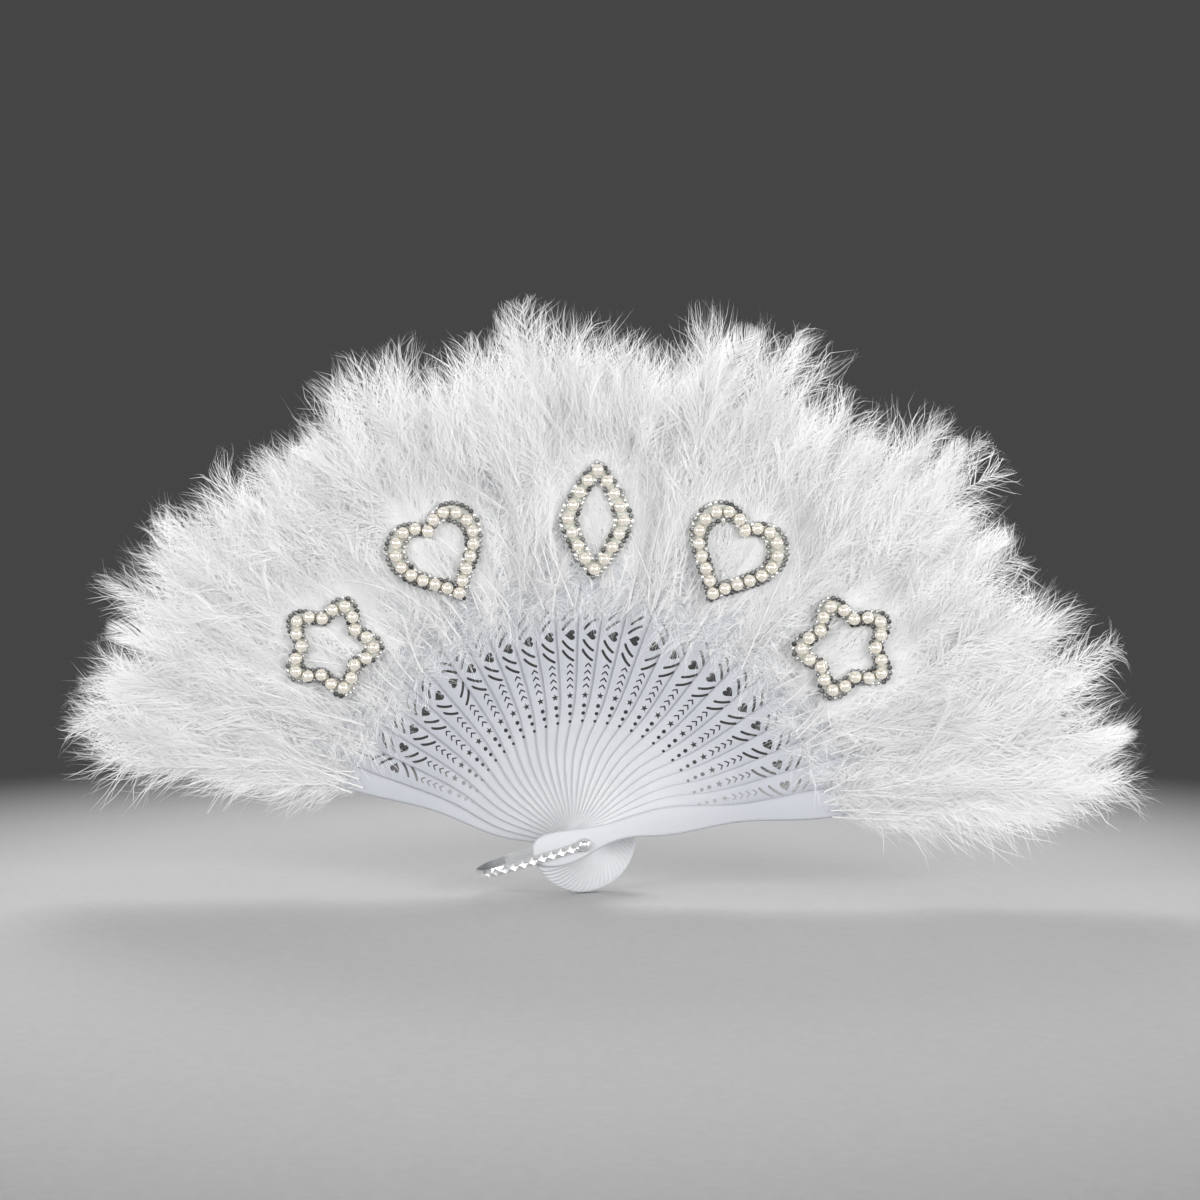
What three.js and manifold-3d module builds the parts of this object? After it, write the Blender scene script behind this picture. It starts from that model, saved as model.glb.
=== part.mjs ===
// Folding feather fan: pierced staves on one pin, plumes on every second stave, pearl patches, wrist loop.
// Millimetres. The fan stands open in the XZ plane with its front towards -Y and the pin on the Y axis.
import * as THREE from 'three';
import { mergeVertices } from 'three/addons/utils/BufferGeometryUtils.js';
import Module from 'manifold-3d';

const wasm = await Module();
wasm.setup();

// Spread of the open fan. Angles are in degrees from +X towards +Z, and stave 0 is the front guard.
const STAVE_COUNT = 27;
const FIRST_ANGLE = 9.6;
const SPREAD = 156;
const STAVES_PER_PLUME = 2;

// Layers. Every stave, with its plume, lies in a layer of its own along the pin.
const STAVE_THICK = 0.8;
const GUARD_THICK = 2;
const CLEARANCE = 0.3;

// Stave outline. Distances run along the stave from the pin, and widths are full widths.
const BUTT_REACH = 24;
const BUTT_AT = -12;
const BUTT_WIDTH = 15.8;
const BUTT_SQUARENESS = 4;
const GUARD_BUTT_SQUARENESS = 2.6;
const NECK_AT = 15;
const NECK_WIDTH = 8.8;
const BULGE_AT = 40;
const BULGE_WIDTH = 13;
const WAIST_AT = 65;
const WAIST_WIDTH = 8.6;
const BLADE_AT = 110;
const BLADE_WIDTH = 13.4;
const GUARD_WAIST_AT = 72;
const GUARD_WAIST_WIDTH = 8.4;
const TIP_REACH = 200;
const TIP_WIDTH = 15;
const TIP_ROUND = 8;
const TIP_FLAT = 9;

// The middle line of a stave swings to the left of the pin as it leaves the butt, and comes back further out.
const SWING = 4.5;
const SWING_AT = 25;
const SWING_END = 125;

// Pierced pattern, from the pin outwards. The heart lies across the stave, with slots beside its two flanks.
const STAR_AT = 67.4;
const STAR_RADIUS = 1.75;
const CHEVRON_AT = 71.5;
const CHEVRON_PITCH = 3.2;
const CHEVRON_COUNT = 4;
const CHEVRON_HALF = 1.5;
const CHEVRON_STROKE = 1.1;
const HEART_AT = 95.6;
const HEART_LENGTH = 5;
const HEART_WIDTH = 4.8;
const SLOT_LENGTH = 7.8;
const SLOT_WIDTH = 1.05;
const SLOT_TILT = 44;
const SLOT_ASIDE = 0.9;
const SLOT_COUNT = 2;
const SLOT_FIRST = 4.9;
const SLOT_PITCH = 4.5;
// These staves were riveted in with their other face to the front, so their hearts point the other way.
const TURNED_OVER = [1, 2, 3, 4, 5, 6, 7, 8, 9, 10, 20, 25];

// Plume outline, along the stave that carries it.
const PLUME_START = 108;
const PLUME_START_HALF = 10;
const PLUME_WIDE_AT = 205;
const PLUME_WIDE_HALF = 26;
const PLUME_DROOP_HALF = 36;
const PLUME_REACH = 251;
const PLUME_SPLITS = 2;
const SPLIT_DEPTH = 5;
const SPLIT_WIDTH = 2.4;

// Pin and wrist loop.
const PIN_RADIUS = 1.5;
const PIN_HEAD_RADIUS = 2.4;
const PIN_HEAD_HEIGHT = 1.2;
const LOOP_LENGTH = 53;
const LOOP_ANGLE = 197;
const LOOP_BAND = 3.8;
const LOOP_THICK = 1.3;
const LOOP_EYE_RADIUS = 3;

// Patches. Each is a band between an outer and an inner line of one motif, with pearls along its middle.
const PATCH_RADIUS = 149;
const FELT_THICK = 1.2;
const BAND_HALF = 5.2;
const PEARL_RADIUS = 2.8;
const PEARL_PITCH = 6;
const PEARL_SUNK = 0.3;
const PAD_SIZE = 9;
const FLOWER_HALF = 20;
const FLOWER_PETALS = 5;
const PATCH_HEART_HALF_WIDTH = 19;
const PATCH_HEART_HALF_HEIGHT = 20;
const LOZENGE_HALF_WIDTH = 13;
const LOZENGE_HALF_HEIGHT = 23;
const PATCHES = [
  { name: 'flower_patch_right', motif: 'flower', angle: 37 },
  { name: 'heart_patch_right', motif: 'heart', angle: 62.8 },
  { name: 'lozenge_patch', motif: 'lozenge', angle: 88 },
  { name: 'heart_patch_left', motif: 'heart', angle: 117 },
  { name: 'flower_patch_left', motif: 'flower', angle: 143 },
];

const LAST = STAVE_COUNT - 1;
const PITCH = SPREAD / LAST;
const STACK = 2 * GUARD_THICK + (STAVE_COUNT - 2) * STAVE_THICK + LAST * CLEARANCE;
const PIN_HOLE_RADIUS = PIN_RADIUS + CLEARANCE;

const PLASTIC = { color: 0xe4e8ee, roughness: 0.38, metalness: 0 };
const GUARD_PLASTIC = { color: 0xe9ecf0, roughness: 0.34, metalness: 0 };
const FEATHER = { color: 0xf4f2ee, roughness: 0.9, metalness: 0 };
const PEARL = { color: 0xf0e9dc, roughness: 0.25, metalness: 0 };
const BRIGHT_METAL = { color: 0xc9ccd1, roughness: 0.18, metalness: 1 };

const radians = THREE.MathUtils.degToRad;

function isGuard(index) {
  return index === 0 || index === LAST;
}

function staveThick(index) {
  return isGuard(index) ? GUARD_THICK : STAVE_THICK;
}

function staveAngle(index) {
  return FIRST_ANGLE + index * PITCH;
}

function hasPlume(index) {
  return index % STAVES_PER_PLUME === 0;
}

// Back face of a stave's layer, measured towards the front from the middle of the stack.
function layerBack(index) {
  let front = STACK / 2;
  for (let i = 0; i < index; i += 1) {
    front -= staveThick(i) + CLEARANCE;
  }
  return front - staveThick(index);
}

function layerFront(index) {
  return layerBack(index) + staveThick(index);
}

// Half the width of a stave between two stations, with an even S-curve from one to the next.
function halfWidthAt(stations, along) {
  for (let i = 1; i < stations.length; i += 1) {
    const [start, from] = stations[i - 1];
    const [end, to] = stations[i];
    if (along <= end) {
      const share = THREE.MathUtils.smoothstep(along, start, end);
      return (from + (to - from) * share) / 2;
    }
  }
  return stations.at(-1)[1] / 2;
}

function staveStations(index) {
  const waist = isGuard(index) ? [GUARD_WAIST_AT, GUARD_WAIST_WIDTH] : [WAIST_AT, WAIST_WIDTH];
  return [
    [BUTT_AT, BUTT_WIDTH],
    [NECK_AT, NECK_WIDTH],
    [BULGE_AT, BULGE_WIDTH],
    waist,
    [BLADE_AT, BLADE_WIDTH],
    [TIP_REACH - TIP_ROUND, TIP_WIDTH],
  ];
}

// Right edge of a stave from the butt to the tip.
function staveEdge(index) {
  const stations = staveStations(index);
  const edge = [];
  const buttDepth = BUTT_REACH + BUTT_AT;
  const power = 2 / (isGuard(index) ? GUARD_BUTT_SQUARENESS : BUTT_SQUARENESS);
  for (const turn of [0, 30, 60]) {
    const across = (BUTT_WIDTH / 2) * Math.sin(radians(turn)) ** power;
    const back = buttDepth * Math.cos(radians(turn)) ** power;
    edge.push(new THREE.Vector2(across, BUTT_AT - back));
  }
  const stepsPerSpan = [2, 2, 2, 2, 1];
  for (let span = 0; span < stepsPerSpan.length; span += 1) {
    const start = stations[span][0];
    const length = stations[span + 1][0] - start;
    for (let step = 0; step < stepsPerSpan[span]; step += 1) {
      const along = start + (length * step) / stepsPerSpan[span];
      edge.push(new THREE.Vector2(halfWidthAt(stations, along), along));
    }
  }
  edge.push(new THREE.Vector2(TIP_WIDTH / 2, TIP_REACH - TIP_ROUND));
  edge.push(new THREE.Vector2(TIP_FLAT / 2, TIP_REACH));
  return edge;
}

// The left edge, from the tip back, that mirrors a right edge.
function leftOf(edge) {
  return edge
    .filter((point) => point.x > 0)
    .map((point) => new THREE.Vector2(-point.x, point.y))
    .reverse();
}

// Points of a stave or plume, moved aside with the swing of its middle line.
function swung(points) {
  return points.map((point) => {
    const leaving = THREE.MathUtils.smoothstep(point.y, BUTT_AT, SWING_AT);
    const returning = THREE.MathUtils.smoothstep(point.y, SWING_AT, SWING_END);
    return new THREE.Vector2(point.x - SWING * leaving * (1 - returning), point.y);
  });
}

// A six-sided hole that a pin of the given radius just passes through.
function pinHole(radius) {
  const points = [];
  const corner = radius / Math.cos(Math.PI / 6);
  for (let i = 0; i < 6; i += 1) {
    const angle = (Math.PI * i) / 3;
    points.push(new THREE.Vector2(corner * Math.cos(angle), corner * Math.sin(angle)));
  }
  return points;
}

function starHole() {
  const points = [];
  for (let i = 0; i < 10; i += 1) {
    const radius = i % 2 === 0 ? STAR_RADIUS : STAR_RADIUS * 0.42;
    const angle = Math.PI / 2 + (Math.PI * i) / 5;
    points.push(new THREE.Vector2(radius * Math.cos(angle), STAR_AT + radius * Math.sin(angle)));
  }
  return points;
}

// A chevron with tapering arms, its point towards the tip of the stave.
function chevronHole(along) {
  return [
    new THREE.Vector2(-CHEVRON_HALF, along),
    new THREE.Vector2(0, along + CHEVRON_HALF - CHEVRON_STROKE / 2),
    new THREE.Vector2(CHEVRON_HALF, along),
    new THREE.Vector2(0, along + CHEVRON_HALF + CHEVRON_STROKE / 2),
  ];
}

// A heart across the stave. side is +1 or -1 and says to which side its lobes lie.
function heartHole(side) {
  const flank = [
    [0.05, 0.48],
    [0.32, 0.5],
    [0.45, 0.26],
  ];
  const upper = flank.map(([x, y]) => [x * HEART_LENGTH, y * HEART_WIDTH]);
  const lower = upper.map(([x, y]) => [x, -y]).reverse();
  const corners = [[-HEART_LENGTH * 0.55, 0], ...upper, [HEART_LENGTH * 0.27, 0], ...lower];
  return corners.map(([x, y]) => new THREE.Vector2(x * side, HEART_AT + y));
}

// A slanted slot. lean is +1 or -1 and says to which side its outer end lies.
function slotHole(aside, along, lean) {
  const middle = new THREE.Vector2(aside, along);
  const corners = [
    [-SLOT_LENGTH / 2, -SLOT_WIDTH / 2],
    [SLOT_LENGTH / 2, -SLOT_WIDTH / 2],
    [SLOT_LENGTH / 2, SLOT_WIDTH / 2],
    [-SLOT_LENGTH / 2, SLOT_WIDTH / 2],
  ];
  return corners.map(([x, y]) => {
    const corner = new THREE.Vector2(aside + x, along + y);
    return corner.rotateAround(middle, radians(SLOT_TILT) * lean);
  });
}

function piercedHoles(index) {
  const lobeSide = TURNED_OVER.includes(index) ? -1 : 1;
  const holes = [starHole(), heartHole(lobeSide)];
  for (let i = 0; i < CHEVRON_COUNT; i += 1) {
    holes.push(chevronHole(CHEVRON_AT + CHEVRON_PITCH * i));
  }
  for (let i = 0; i < SLOT_COUNT; i += 1) {
    const aside = -lobeSide * SLOT_ASIDE;
    const away = SLOT_FIRST + SLOT_PITCH * i;
    holes.push(slotHole(aside, HEART_AT - away, -lobeSide));
    holes.push(slotHole(aside, HEART_AT + away, lobeSide));
  }
  return holes.map(swung);
}

function flatSolid(outline, holes, thick) {
  const shape = new THREE.Shape(outline);
  for (const hole of holes) {
    shape.holes.push(new THREE.Path(hole));
  }
  return new THREE.ExtrudeGeometry(shape, { depth: thick, bevelEnabled: false });
}

// Right edge of a plume from its start to its tip, with slanted splits between its vanes.
function plumeEdge(wideHalf) {
  const edge = [new THREE.Vector2(PLUME_START_HALF, PLUME_START)];
  const length = PLUME_WIDE_AT - PLUME_START;
  for (let i = 1; i <= PLUME_SPLITS; i += 1) {
    const share = i / (PLUME_SPLITS + 0.5);
    const along = PLUME_START + length * share;
    const half = PLUME_START_HALF + (wideHalf - PLUME_START_HALF) * Math.sin((share * Math.PI) / 2);
    edge.push(new THREE.Vector2(half, along));
    edge.push(new THREE.Vector2(half - SPLIT_DEPTH, along - SPLIT_DEPTH));
    edge.push(new THREE.Vector2(half, along + SPLIT_WIDTH));
  }
  for (const turn of [0, 30, 55, 78]) {
    const across = wideHalf * Math.cos(radians(turn));
    const along = PLUME_WIDE_AT + (PLUME_REACH - PLUME_WIDE_AT) * Math.sin(radians(turn));
    edge.push(new THREE.Vector2(across, along));
  }
  return edge;
}

// The plumes of the guards droop past the ends of the fan.
function plumeRight(index) {
  return plumeEdge(index === 0 ? PLUME_DROOP_HALF : PLUME_WIDE_HALF);
}

function plumeLeft(index) {
  return plumeEdge(index === LAST ? PLUME_DROOP_HALF : PLUME_WIDE_HALF);
}

// A plume lies round the outer part of its stave, so that the stave runs up its middle.
function plumeOutline(index) {
  const stations = staveStations(index);
  const inner = [];
  for (const along of [PLUME_START, (PLUME_START + TIP_REACH) / 2, TIP_REACH - TIP_ROUND]) {
    inner.push(new THREE.Vector2(halfWidthAt(stations, along) + CLEARANCE, along));
  }
  inner.push(new THREE.Vector2(TIP_FLAT / 2 + CLEARANCE, TIP_REACH + CLEARANCE));
  inner.reverse();
  return swung([...inner, ...plumeRight(index), ...leftOf([...inner, ...plumeLeft(index)])]);
}

// Angle from the middle of a stave to the edge of the stave or plume, where patches can lie.
function halfAngleOf(index) {
  const bare = Math.atan(BLADE_WIDTH / 2 / BLADE_AT);
  const feathered = Math.max(...plumeLeft(index).map((point) => Math.atan2(point.x, point.y)));
  return THREE.MathUtils.radToDeg(hasPlume(index) ? feathered : bare);
}

// The foremost stave whose layer lies behind a patch that is halfWidth wide to each side.
function foremostUnder(angle, halfWidth) {
  const reach = THREE.MathUtils.radToDeg(Math.atan(halfWidth / PATCH_RADIUS));
  for (let i = 0; i < STAVE_COUNT; i += 1) {
    if (staveAngle(i) + halfAngleOf(i) > angle - reach) {
      return i;
    }
  }
  return LAST;
}

function signedPower(value, power) {
  return Math.sign(value) * Math.abs(value) ** power;
}

// Closed lines of the motifs in a square from -1 to 1, each from a point where it mirrors itself.
const MOTIFS = {
  flower: {
    halfWidth: FLOWER_HALF,
    halfHeight: FLOWER_HALF,
    likeParts: FLOWER_PETALS,
    line: (t) => {
      const radius = (1 - 0.18 * Math.cos(FLOWER_PETALS * t)) / 1.18;
      return new THREE.Vector2(radius * Math.sin(t), -radius * Math.cos(t));
    },
  },
  heart: {
    halfWidth: PATCH_HEART_HALF_WIDTH,
    halfHeight: PATCH_HEART_HALF_HEIGHT,
    likeParts: 2,
    line: (t) => {
      const lobes = 13 * Math.cos(t) - 3.5 * Math.cos(2 * t) - 1.2 * Math.cos(3 * t) - 0.8 * Math.cos(4 * t);
      return new THREE.Vector2(signedPower(Math.sin(t), 2.2), lobes / 14.6 + 0.1);
    },
  },
  lozenge: {
    halfWidth: LOZENGE_HALF_WIDTH,
    halfHeight: LOZENGE_HALF_HEIGHT,
    likeParts: 4,
    line: (t) => new THREE.Vector2(signedPower(Math.cos(t), 1.6), signedPower(Math.sin(t), 1.6)),
  },
};

// The line of a motif at equal steps, moved outwards (or inwards, if negative) by grow.
function motifLine(motif, grow, count) {
  const samples = [];
  for (let i = 0; i < 120; i += 1) {
    const point = motif.line((2 * Math.PI * i) / 120);
    samples.push(new THREE.Vector3(
      point.x * (motif.halfWidth + grow),
      point.y * (motif.halfHeight + grow),
      0,
    ));
  }
  const line = new THREE.CatmullRomCurve3(samples, true);
  line.arcLengthDivisions = 600;
  return { length: line.getLength(), points: line.getSpacedPoints(count).slice(0, count) };
}

function toManifold(geometry) {
  const bare = geometry.clone();
  bare.deleteAttribute('normal');
  bare.deleteAttribute('uv');
  const merged = mergeVertices(bare, 1e-4);
  const corners = merged.index.array;
  const triangles = [];
  for (let i = 0; i < corners.length; i += 3) {
    const [a, b, c] = corners.slice(i, i + 3);
    // The triangles at the poles of a turned solid have no area.
    if (a !== b && b !== c && c !== a) {
      triangles.push(a, b, c);
    }
  }
  return new wasm.Manifold(new wasm.Mesh({
    numProp: 3,
    vertProperties: new Float32Array(merged.attributes.position.array),
    triVerts: new Uint32Array(triangles),
  }));
}

function toGeometry(solid) {
  const mesh = solid.getMesh();
  const geometry = new THREE.BufferGeometry();
  geometry.setAttribute('position', new THREE.BufferAttribute(mesh.vertProperties, 3));
  geometry.setIndex(new THREE.BufferAttribute(mesh.triVerts, 1));
  geometry.computeVertexNormals();
  return geometry;
}

// Felt band, the pad that glues it down, and the pearls. The back of the felt is at depth 0.
function patchSolid(motif, padDepth) {
  const toFlat = (point) => new THREE.Vector2(point.x, point.y);
  const outer = motifLine(motif, BAND_HALF, 30).points.map(toFlat);
  const inner = motifLine(motif, -BAND_HALF, 16).points.map(toFlat);
  const sheet = flatSolid(outer, [], FELT_THICK);
  const opening = flatSolid(inner, [], 3 * FELT_THICK);
  opening.translate(0, 0, -FELT_THICK);
  const pad = new THREE.BoxGeometry(PAD_SIZE, PAD_SIZE / 2, padDepth + FELT_THICK / 2);
  pad.translate(0, -motif.halfHeight, (FELT_THICK / 2 - padDepth) / 2);
  let solid = toManifold(sheet).subtract(toManifold(opening)).add(toManifold(pad));
  const pearlsPerPart = Math.round(motifLine(motif, 0, 8).length / PEARL_PITCH / motif.likeParts);
  for (const place of motifLine(motif, 0, pearlsPerPart * motif.likeParts).points) {
    const profile = [
      new THREE.Vector2(0, 0),
      new THREE.Vector2(PEARL_RADIUS, 0),
      new THREE.Vector2(PEARL_RADIUS * 0.86, PEARL_RADIUS * 0.95),
      new THREE.Vector2(0, PEARL_RADIUS * 1.5),
    ];
    const pearl = new THREE.LatheGeometry(profile, 5);
    pearl.rotateX(Math.PI / 2);
    pearl.translate(place.x, place.y, FELT_THICK - PEARL_SUNK);
    solid = solid.add(toManifold(pearl));
  }
  return toGeometry(solid);
}

// The pin with a domed head at each end, turned about its own axis.
function pinSolid() {
  const seat = STACK / 2 + LOOP_THICK + 2 * CLEARANCE;
  const top = seat + PIN_HEAD_HEIGHT;
  const profile = [
    new THREE.Vector2(0, -top),
    new THREE.Vector2(PIN_HEAD_RADIUS * 0.62, -top + PIN_HEAD_HEIGHT * 0.2),
    new THREE.Vector2(PIN_HEAD_RADIUS, -seat - PIN_HEAD_HEIGHT * 0.3),
    new THREE.Vector2(PIN_HEAD_RADIUS, -seat),
    new THREE.Vector2(PIN_RADIUS, -seat),
    new THREE.Vector2(PIN_RADIUS, seat),
    new THREE.Vector2(PIN_HEAD_RADIUS, seat),
    new THREE.Vector2(PIN_HEAD_RADIUS, seat + PIN_HEAD_HEIGHT * 0.3),
    new THREE.Vector2(PIN_HEAD_RADIUS * 0.62, top - PIN_HEAD_HEIGHT * 0.2),
    new THREE.Vector2(0, top),
  ];
  const pin = new THREE.LatheGeometry(profile, 12);
  pin.rotateX(Math.PI / 2);
  return pin;
}

// The wrist loop: a band bent into a U round the stack, with a round eye on the pin at each end.
function loopSolid() {
  const inside = STACK / 2 + CLEARANCE;
  const outside = inside + LOOP_THICK;
  const bendStart = LOOP_LENGTH - outside;
  const outline = [];
  const hollow = [];
  for (let turn = -90; turn <= 90; turn += 18) {
    const c = Math.cos(radians(turn));
    const s = Math.sin(radians(turn));
    outline.push(new THREE.Vector2(bendStart + outside * c, outside * s));
    hollow.push(new THREE.Vector2(bendStart + inside * c, inside * s));
  }
  outline.push(new THREE.Vector2(0, outside), new THREE.Vector2(0, inside));
  outline.push(...hollow.reverse());
  outline.push(new THREE.Vector2(0, -inside), new THREE.Vector2(0, -outside));
  const band = flatSolid(outline, [], LOOP_BAND);
  band.translate(0, 0, -LOOP_BAND / 2);
  band.rotateX(Math.PI / 2);
  let loop = toManifold(band);
  for (const side of [-1, 1]) {
    const eye = new THREE.CylinderGeometry(LOOP_EYE_RADIUS, LOOP_EYE_RADIUS, LOOP_THICK, 16);
    eye.rotateX(Math.PI / 2);
    eye.translate(0, 0, side * (inside + LOOP_THICK / 2));
    loop = loop.add(toManifold(eye));
  }
  const bore = new THREE.CylinderGeometry(PIN_HOLE_RADIUS, PIN_HOLE_RADIUS, 3 * STACK, 12);
  bore.rotateX(Math.PI / 2);
  return toGeometry(loop.subtract(toManifold(bore)));
}

// Everything is built lying in the XY plane with its front towards +Z, and then stood up.
const fan = new THREE.Group();
fan.name = 'feather_fan';
fan.rotation.x = Math.PI / 2;

function addMesh(name, geometry, look, angle, depth) {
  const mesh = new THREE.Mesh(geometry, new THREE.MeshStandardMaterial(look));
  mesh.name = name;
  mesh.rotation.z = radians(angle - 90);
  mesh.position.z = depth;
  fan.add(mesh);
  return mesh;
}

function staveName(index) {
  if (index === 0) {
    return 'front_guard';
  }
  return index === LAST ? 'rear_guard' : `stave_${String(index).padStart(2, '0')}`;
}

for (let i = 0; i < STAVE_COUNT; i += 1) {
  const holes = [pinHole(PIN_HOLE_RADIUS)];
  if (!isGuard(i)) {
    holes.push(...piercedHoles(i));
  }
  const edge = staveEdge(i);
  const stave = flatSolid(swung([...edge, ...leftOf(edge)]), holes, staveThick(i));
  addMesh(staveName(i), stave, isGuard(i) ? GUARD_PLASTIC : PLASTIC, staveAngle(i), layerBack(i));
}

for (let i = 0; i < STAVE_COUNT; i += STAVES_PER_PLUME) {
  const plume = flatSolid(plumeOutline(i), [], staveThick(i));
  addMesh(`plume_of_${staveName(i)}`, plume, FEATHER, staveAngle(i), layerBack(i));
}

for (const patch of PATCHES) {
  const motif = MOTIFS[patch.motif];
  const seat = layerFront(foremostUnder(patch.angle, motif.halfWidth + BAND_HALF)) + CLEARANCE;
  const carrier = foremostUnder(patch.angle, PAD_SIZE / 2);
  const padDepth = seat - layerFront(carrier) - CLEARANCE;
  const mesh = addMesh(patch.name, patchSolid(motif, padDepth), PEARL, patch.angle, seat);
  mesh.position.x = PATCH_RADIUS * Math.cos(radians(patch.angle));
  mesh.position.y = PATCH_RADIUS * Math.sin(radians(patch.angle));
}

addMesh('pivot_pin', pinSolid(), BRIGHT_METAL, 0, 0);
addMesh('wrist_loop', loopSolid(), BRIGHT_METAL, LOOP_ANGLE + 90, 0);

export default fan;
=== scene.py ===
import math

import bpy
import numpy as np
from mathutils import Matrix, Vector
from mathutils.geometry import tessellate_polygon


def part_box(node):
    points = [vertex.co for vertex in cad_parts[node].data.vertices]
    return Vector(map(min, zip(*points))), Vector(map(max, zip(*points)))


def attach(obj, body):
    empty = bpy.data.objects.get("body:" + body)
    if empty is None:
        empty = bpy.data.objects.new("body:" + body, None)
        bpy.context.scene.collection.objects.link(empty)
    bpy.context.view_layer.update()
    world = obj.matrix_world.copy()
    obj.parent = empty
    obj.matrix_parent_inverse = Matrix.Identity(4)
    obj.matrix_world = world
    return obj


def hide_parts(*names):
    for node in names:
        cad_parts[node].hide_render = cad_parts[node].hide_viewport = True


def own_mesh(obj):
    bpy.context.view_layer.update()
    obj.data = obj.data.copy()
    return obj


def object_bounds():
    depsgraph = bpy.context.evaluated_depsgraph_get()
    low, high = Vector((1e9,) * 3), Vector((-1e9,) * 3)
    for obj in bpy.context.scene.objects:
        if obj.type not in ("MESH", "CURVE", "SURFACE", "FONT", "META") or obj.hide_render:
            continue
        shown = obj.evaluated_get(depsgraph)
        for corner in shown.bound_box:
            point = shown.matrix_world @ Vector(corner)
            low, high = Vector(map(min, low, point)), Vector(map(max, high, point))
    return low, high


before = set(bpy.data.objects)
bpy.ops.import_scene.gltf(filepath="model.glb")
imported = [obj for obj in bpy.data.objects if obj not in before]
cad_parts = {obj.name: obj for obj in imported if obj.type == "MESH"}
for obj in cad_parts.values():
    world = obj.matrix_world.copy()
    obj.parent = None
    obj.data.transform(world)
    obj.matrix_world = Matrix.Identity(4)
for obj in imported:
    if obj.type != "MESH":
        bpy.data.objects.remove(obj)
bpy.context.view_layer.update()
MM = 0.001


# Camera. It looks level and square at the front of the open fan, and the pin sits
# below the middle of the picture.
def in_scene(name, data):
    """An object with this data, linked to the scene."""
    made = bpy.data.objects.new(name, data)
    bpy.context.scene.collection.objects.link(made)
    return made


camera_data = bpy.data.cameras.new("camera")
camera_data.lens = 50
camera_data.sensor_width = 36
camera = in_scene("camera", camera_data)
camera.location = (0.0070, -0.776, 0.1117)
camera.rotation_euler = (math.radians(90), 0, 0)
bpy.context.scene.camera = camera
bpy.context.scene.view_settings.view_transform = "Standard"


# Pierced staves. Twenty-five thin strips of white plastic, moulded with a pattern of
# holes and threaded on one pin, each a layer behind the one to its right.
class Wire:
    """A socket of a node tree that takes part in Python expressions."""

    def __init__(self, board, socket):
        self.board = board
        self.socket = socket

    def maths(self, operation, first, second):
        return self.board.node("ShaderNodeMath", {"operation": operation}, {0: first, 1: second})

    def through(self, operation):
        return self.board.node("ShaderNodeMath", {"operation": operation}, {0: self})

    def __add__(self, other):
        return self.maths("ADD", self, other)

    def __radd__(self, other):
        return self.maths("ADD", other, self)

    def __sub__(self, other):
        return self.maths("SUBTRACT", self, other)

    def __rsub__(self, other):
        return self.maths("SUBTRACT", other, self)

    def __mul__(self, other):
        return self.maths("MULTIPLY", self, other)

    def __rmul__(self, other):
        return self.maths("MULTIPLY", other, self)

    def __pow__(self, other):
        return self.maths("POWER", self, other)


class Board:
    """A node tree. node() adds a node with its settings and its sockets' values or wires."""

    def __init__(self, tree):
        self.tree = tree

    def plug(self, socket, value):
        if isinstance(value, Wire):
            self.tree.links.new(value.socket, socket)
        else:
            socket.default_value = value

    def node(self, kind, settings=None, sockets=None, output=0):
        made = self.tree.nodes.new(kind)
        for name, value in (settings or {}).items():
            if name == "stops":
                ramp = made.color_ramp.elements
                while len(ramp) < len(value):
                    ramp.new(0.5)
                for stop, (place, *colour) in zip(ramp, value):
                    stop.position = place
                    stop.color = (*colour, 1)
            else:
                setattr(made, name, value)
        for name, value in (sockets or {}).items():
            self.plug(made.inputs[name], value)
        return Wire(self, made.outputs[output])

    def vectors(self, operation, first, second=(0, 0, 0), output=0):
        return self.node(
            "ShaderNodeVectorMath", {"operation": operation}, {0: first, 1: second}, output
        )


class Finish(Board):
    """A material with one Principled shader, whose sockets set() fills."""

    def __init__(self, name):
        self.material = bpy.data.materials.new(name)
        self.material.use_nodes = True
        super().__init__(self.material.node_tree)
        self.shader = self.tree.nodes["Principled BSDF"]

    def set(self, values):
        for name, value in values.items():
            self.plug(self.shader.inputs[name], value)

    def noise(self, scale, detail, stretch=(1, 1, 1)):
        place = self.node("ShaderNodeTexCoord", output="Object")
        turned = self.node("ShaderNodeMapping", None, {"Vector": place, "Scale": stretch})
        return self.node(
            "ShaderNodeTexNoise", None, {"Vector": turned, "Scale": scale, "Detail": detail}, "Fac"
        )

    def ramp(self, factor, *stops):
        """A colour that runs through stops of place, red, green and blue."""
        return self.node("ShaderNodeValToRGB", {"stops": stops}, {"Fac": factor})

    def bump(self, height, strength, distance):
        return self.node(
            "ShaderNodeBump", None, {"Height": height, "Strength": strength, "Distance": distance}
        )

    def from_origin(self, axes):
        """Distance from the origin, measured along the axes that are one and not zero."""
        place = self.node("ShaderNodeTexCoord", output="Object")
        return self.vectors("LENGTH", self.vectors("MULTIPLY", place, axes), output="Value")

    def blend(self, factor, other):
        """Mixes another shader into the Principled one."""
        mixed = self.node(
            "ShaderNodeMixShader", None,
            {"Fac": factor, 1: Wire(self, self.shader.outputs[0]), 2: other},
        )
        self.plug(self.tree.nodes["Material Output"].inputs["Surface"], mixed)


stave_count = 27
last_stave = stave_count - 1
guard_staves = (0, last_stave)
first_angle = 9.6
stave_pitch = 6.0
stave_thick = 0.8
guard_thick = 2.0
layer_gap = 0.3
stack_depth = 2 * guard_thick + (stave_count - 2) * stave_thick + last_stave * layer_gap
butt_at = -12
swing, swing_at, swing_end = 4.5, 25, 125
pin_hole = 1.8


def stave_name(index):
    if index == 0:
        return "front_guard"
    return "rear_guard" if index == last_stave else f"stave_{index:02d}"


def stave_angle(index):
    return math.radians(first_angle + stave_pitch * index)


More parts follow.
